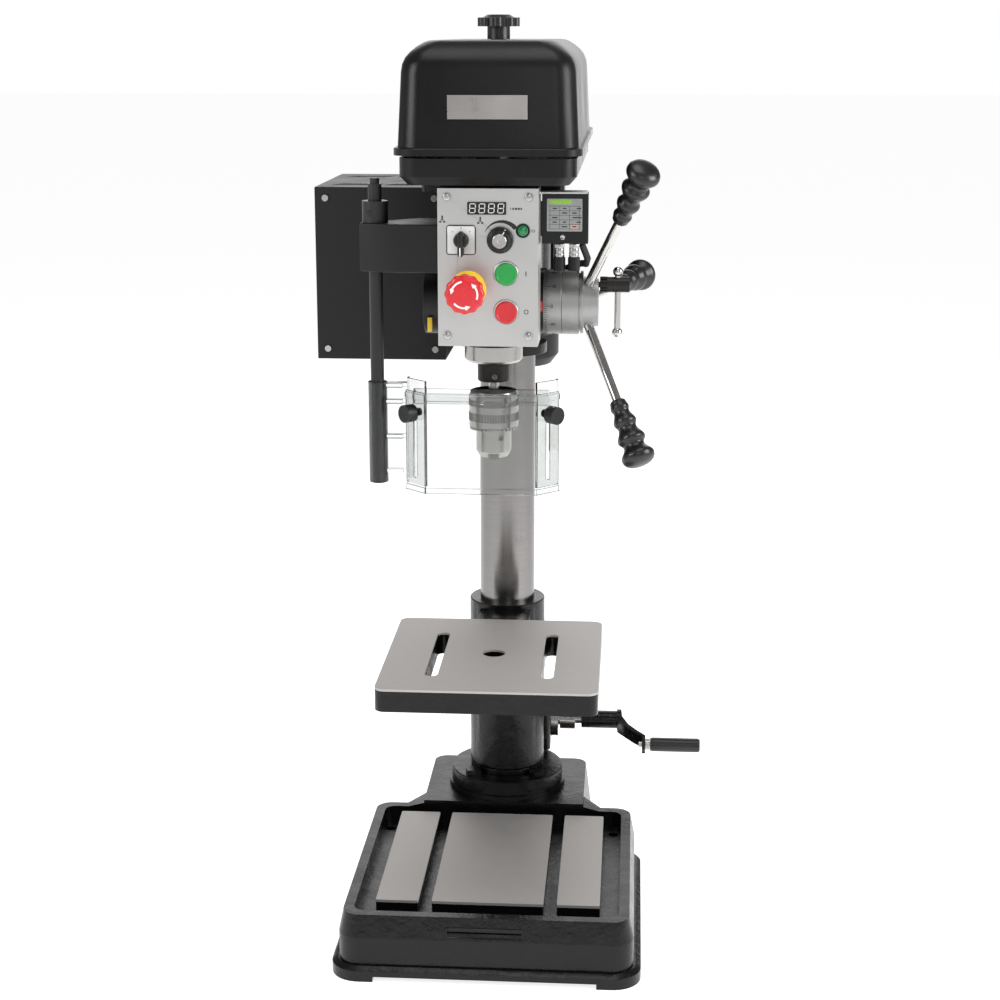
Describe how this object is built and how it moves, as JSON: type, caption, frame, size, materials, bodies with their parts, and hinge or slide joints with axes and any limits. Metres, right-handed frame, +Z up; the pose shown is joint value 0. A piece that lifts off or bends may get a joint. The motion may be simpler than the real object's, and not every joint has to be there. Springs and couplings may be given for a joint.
{
  "type": "drill press",
  "caption": "Bench drill press with geared quill feed and keyed chuck over a crank-raised table, belt drive under a lift-off cover, push-button panel and swinging chuck guard.",
  "frame": {"origin": "on the column axis at the bench surface", "axes": "+X to the right of a person facing the press, +Y to the back, +Z up along the column"},
  "size_m": [0.447, 0.544, 1],
  "materials": {
    "cast_black": "textured black paint on a sand casting",
    "machined_iron": "ground work face",
    "column_steel": "ground round tube",
    "rack_steel": "milled bar",
    "turned_steel": "turned",
    "blackened_steel": "blackened",
    "zinc_hardware": "zinc plated",
    "cover_black": "fine leather-grain black",
    "cast_alloy": "die cast and turned",
    "badge_silver": "brushed plate, blank",
    "knob_black": "moulded",
    "panel_steel": "brushed sheet",
    "trim_metal": "satin chrome",
    "display_black": "tinted window",
    "green_plastic": "moulded",
    "red_plastic": "moulded",
    "yellow_plastic": "moulded",
    "box_black": "powder coat on sheet",
    "clear_plastic": "clear polycarbonate moulding",
    "grip_black": "moulded",
    "belt_rubber": "ribbed belt",
    "cable_rubber": "sheath",
    "chrome": "polished",
    "chuck_steel": "turned and hardened"
  },
  "bodies": {
    "base": {"base_casting": "cast_black", "base_pads": "machined_iron", "column_flange": "cast_black", "column": "column_steel", "head_casting": "cast_black", "quill_nose": "turned_steel", "head_screws": "zinc_hardware", "motor": "cover_black", "belt": "belt_rubber", "hood_tray": "cover_black", "panel_box": "panel_steel", "panel_trim": "trim_metal", "display": "display_black", "estop_base": "yellow_plastic", "control_box": "box_black", "control_box_fittings": "zinc_hardware", "spring_housing": "box_black", "guard_bracket": "box_black", "pointer_ring": "knob_black", "readout": "box_black", "sensor_cable": "cable_rubber"},
    "rack_body": {"rack": "rack_steel", "rack_rings": "blackened_steel"},
    "table_body": {"table_bracket": "cast_black", "table_casting": "cast_black", "table_face": "machined_iron"},
    "lock_lever": {"table_lock": "blackened_steel"},
    "crank": {"crank_shaft": "turned_steel", "crank_arm": "blackened_steel"},
    "crank_handle": {"crank_grip": "grip_black"},
    "motor_rotor": {"motor_pulley": "cast_alloy"},
    "driven_pulley": {"spindle_pulley": "cast_alloy"},
    "cover": {"hood": "cover_black", "hood_badge": "badge_silver"},
    "cover_knob": {"star_knob": "knob_black"},
    "selector": {"selector_knob": "knob_black"},
    "speed": {"speed_knob": "knob_black"},
    "start": {"start_button": "green_plastic"},
    "stop": {"stop_button": "red_plastic"},
    "stop_stem": {"estop_stem": "knob_black"},
    "stop_head": {"estop_head": "red_plastic"},
    "guard": {"guard_rod": "blackened_steel", "guard_frame": "clear_plastic"},
    "shield": {"guard_shield": "clear_plastic"},
    "shield_knob_left": {"guard_knob_left": "knob_black"},
    "shield_knob_right": {"guard_knob_right": "knob_black"},
    "quill_body": {"quill": "turned_steel"},
    "spindle_body": {"spindle": "turned_steel", "ejector_collar": "blackened_steel", "chuck_body": "chuck_steel"},
    "chuck_ring": {"chuck_sleeve": "chuck_steel"},
    "jaw_a": {"jaw_1": "rack_steel"},
    "jaw_b": {"jaw_2": "rack_steel"},
    "jaw_c": {"jaw_3": "rack_steel"},
    "depth_ring": {"scale_ring": "cast_alloy"},
    "feed": {"feed_hub": "cast_alloy", "feed_levers": "chrome", "lever_grips": "grip_black"},
    "key": {"chuck_key": "blackened_steel"},
    "key_handle": {"key_bar": "chrome"}
  },
  "joints": [
    {"name": "table_swing", "type": "hinge", "parent": "base", "child": "rack_body", "pos_m": [0, 0, 0.3], "axis": [0, 0, 1], "range_deg": [-170, 170]},
    {"name": "table_height", "type": "slide", "parent": "rack_body", "child": "table_body", "axis": [0, 0, 1], "range_m": [0, 0.14]},
    {"name": "crank_turn", "type": "hinge", "parent": "table_body", "child": "crank", "pos_m": [0.1, 0.056, 0.142], "axis": [1, 0, 0], "range_deg": [0, 670]},
    {"name": "crank_grip_spin", "type": "hinge", "parent": "crank", "child": "crank_handle", "pos_m": [0.2, 0.012, 0.127], "axis": [1, 0, 0], "continuous": true},
    {"name": "table_lock_turn", "type": "hinge", "parent": "table_body", "child": "lock_lever", "pos_m": [-0.04, 0.04, 0.25], "axis": [-0.7071, 0.7071, 0], "range_deg": [-60, 0]},
    {"name": "quill_feed", "type": "slide", "parent": "base", "child": "quill_body", "axis": [0, 0, -1], "range_m": [0, 0.075], "stiffness_N_per_m": 500, "springref_m": -0.14},
    {"name": "feed_turn", "type": "hinge", "parent": "base", "child": "feed", "pos_m": [0.05, -0.19, 0.703], "axis": [1, 0, 0], "range_deg": [0, 360]},
    {"name": "spindle_spin", "type": "hinge", "parent": "quill_body", "child": "spindle_body", "pos_m": [0, -0.225, 0.7], "axis": [0, 0, 1], "continuous": true},
    {"name": "driven_pulley_spin", "type": "hinge", "parent": "base", "child": "driven_pulley", "pos_m": [0, -0.225, 0.88], "axis": [0, 0, 1], "continuous": true},
    {"name": "motor_spin", "type": "hinge", "parent": "base", "child": "motor_rotor", "pos_m": [0, 0.108, 0.88], "axis": [0, 0, 1], "continuous": true},
    {"name": "chuck_ring_turn", "type": "hinge", "parent": "spindle_body", "child": "chuck_ring", "pos_m": [0, -0.225, 0.59], "axis": [0, 0, 1], "range_deg": [0, 1080]},
    {"name": "jaw_a_slide", "type": "slide", "parent": "spindle_body", "child": "jaw_a", "axis": [0.2095, 0.121, 0.9703], "range_m": [0, 0.0181]},
    {"name": "jaw_b_slide", "type": "slide", "parent": "spindle_body", "child": "jaw_b", "axis": [-0.2095, 0.121, 0.9703], "range_m": [0, 0.0181]},
    {"name": "jaw_c_slide", "type": "slide", "parent": "spindle_body", "child": "jaw_c", "axis": [0, -0.2419, 0.9703], "range_m": [0, 0.0181]},
    {"name": "depth_ring_turn", "type": "hinge", "parent": "feed", "child": "depth_ring", "pos_m": [0.06, -0.19, 0.703], "axis": [1, 0, 0], "range_deg": [0, 330]},
    {"name": "key_pull", "type": "slide", "parent": "feed", "child": "key", "axis": [1, 0, 0], "range_m": [0, 0.03]},
    {"name": "key_bar_slide", "type": "slide", "parent": "key", "child": "key_handle", "axis": [0, 0, 1], "range_m": [0, 0.037]},
    {"name": "cover_lift", "type": "slide", "parent": "base", "child": "cover", "axis": [0, 0, 1], "range_m": [0, 0.15]},
    {"name": "cover_knob_turn", "type": "hinge", "parent": "cover", "child": "cover_knob", "pos_m": [0, -0.15, 0.985], "axis": [0, 0, 1], "continuous": true},
    {"name": "selector_turn", "type": "hinge", "parent": "base", "child": "selector", "pos_m": [-0.0265, -0.306, 0.78], "axis": [0, 1, 0], "range_deg": [-45, 45]},
    {"name": "speed_turn", "type": "hinge", "parent": "base", "child": "speed", "pos_m": [0.0125, -0.306, 0.7805], "axis": [0, 1, 0], "range_deg": [-180, 120]},
    {"name": "start_press", "type": "slide", "parent": "base", "child": "start", "axis": [0, 1, 0], "range_m": [0, 0.003], "stiffness_N_per_m": 400},
    {"name": "stop_press", "type": "slide", "parent": "base", "child": "stop", "axis": [0, 1, 0], "range_m": [0, 0.003], "stiffness_N_per_m": 400},
    {"name": "estop_press", "type": "slide", "parent": "base", "child": "stop_stem", "axis": [0, 1, 0], "range_m": [0, 0.006]},
    {"name": "estop_release", "type": "hinge", "parent": "stop_stem", "child": "stop_head", "pos_m": [-0.02, -0.34, 0.731], "axis": [0, 1, 0], "range_deg": [0, 45], "stiffness_Nm_per_rad": 0.05},
    {"name": "guard_swing", "type": "hinge", "parent": "base", "child": "guard", "pos_m": [-0.119, -0.262, 0.6], "axis": [0, 0, 1], "range_deg": [-110, 0]},
    {"name": "shield_height", "type": "slide", "parent": "guard", "child": "shield", "axis": [0, 0, 1], "range_m": [0, 0.045]},
    {"name": "shield_knob_left_turn", "type": "hinge", "parent": "guard", "child": "shield_knob_left", "pos_m": [-0.0788, -0.2755, 0.598], "axis": [-0.7071, -0.7071, 0], "continuous": true},
    {"name": "shield_knob_right_turn", "type": "hinge", "parent": "guard", "child": "shield_knob_right", "pos_m": [0.0604, -0.2755, 0.598], "axis": [0.7071, -0.7071, 0], "continuous": true}
  ],
  "couplings": [
    {"joint": "crank_turn", "follows": "table_height", "rad_per_m": 83.333},
    {"joint": "feed_turn", "follows": "quill_feed", "rad_per_m": 83.333},
    {"joint": "driven_pulley_spin", "follows": "spindle_spin", "ratio": 1},
    {"joint": "motor_spin", "follows": "spindle_spin", "ratio": 2.3636},
    {"joint": "jaw_a_slide", "follows": "chuck_ring_turn", "m_per_rad": 0.00095493},
    {"joint": "jaw_b_slide", "follows": "chuck_ring_turn", "m_per_rad": 0.00095493},
    {"joint": "jaw_c_slide", "follows": "chuck_ring_turn", "m_per_rad": 0.00095493}
  ]
}
